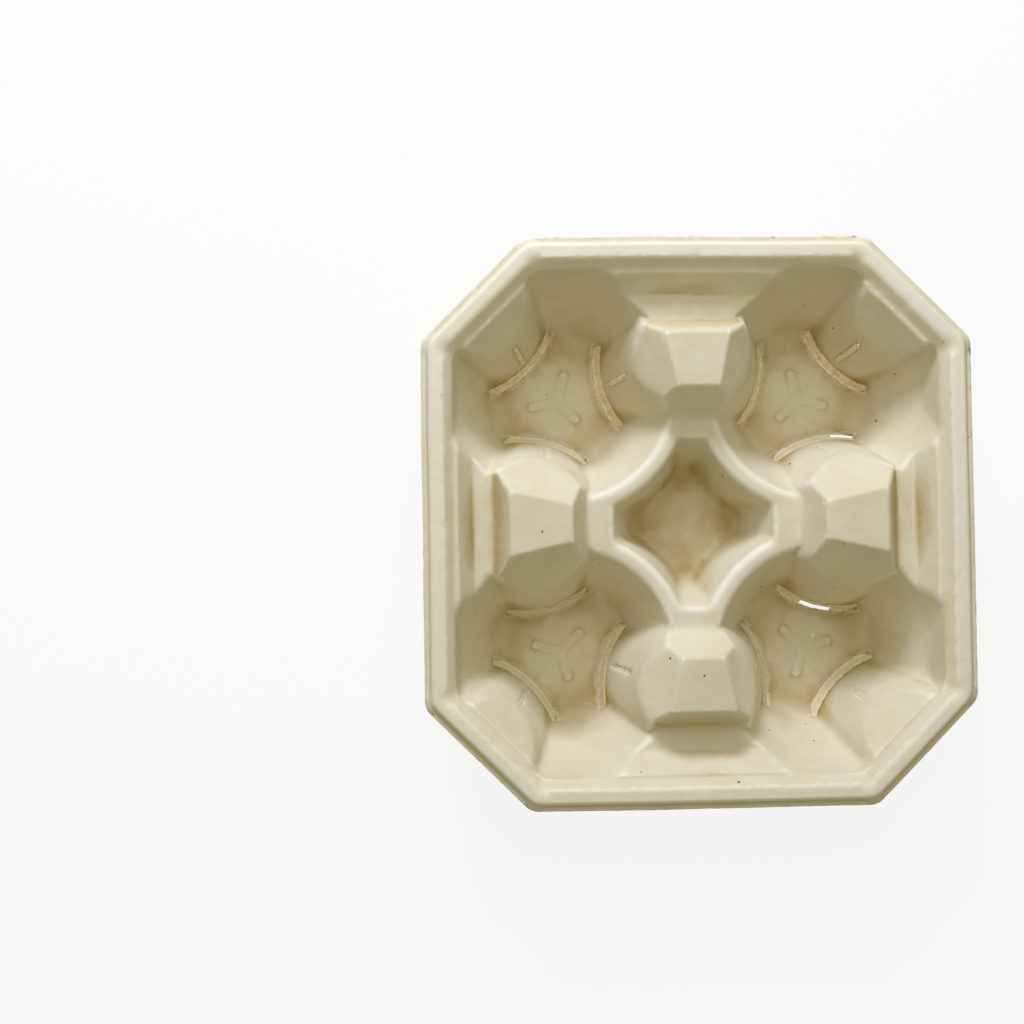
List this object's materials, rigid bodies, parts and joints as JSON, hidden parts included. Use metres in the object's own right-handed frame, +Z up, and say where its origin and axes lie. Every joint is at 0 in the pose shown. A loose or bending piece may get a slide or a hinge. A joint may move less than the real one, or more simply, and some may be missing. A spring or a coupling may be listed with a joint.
{
  "type": "moulded pulp cup carrier tray",
  "caption": "Thin moulded-pulp carrier tray with cut corners, lobed cup pockets on feet, tapered humps between them, a centre recess and a turned-down rim.",
  "frame": {"origin": "on the ground, in the middle of the tray, under its feet", "axes": "+Z up towards the rim, +Y along the longer side, +X along the shorter side"},
  "size_m": [0.2038, 0.21, 0.052],
  "materials": {
    "pulp": "matte, slightly fibrous moulded pulp"
  },
  "bodies": {
    "root": {"tray": "pulp"}
  },
  "joints": []
}
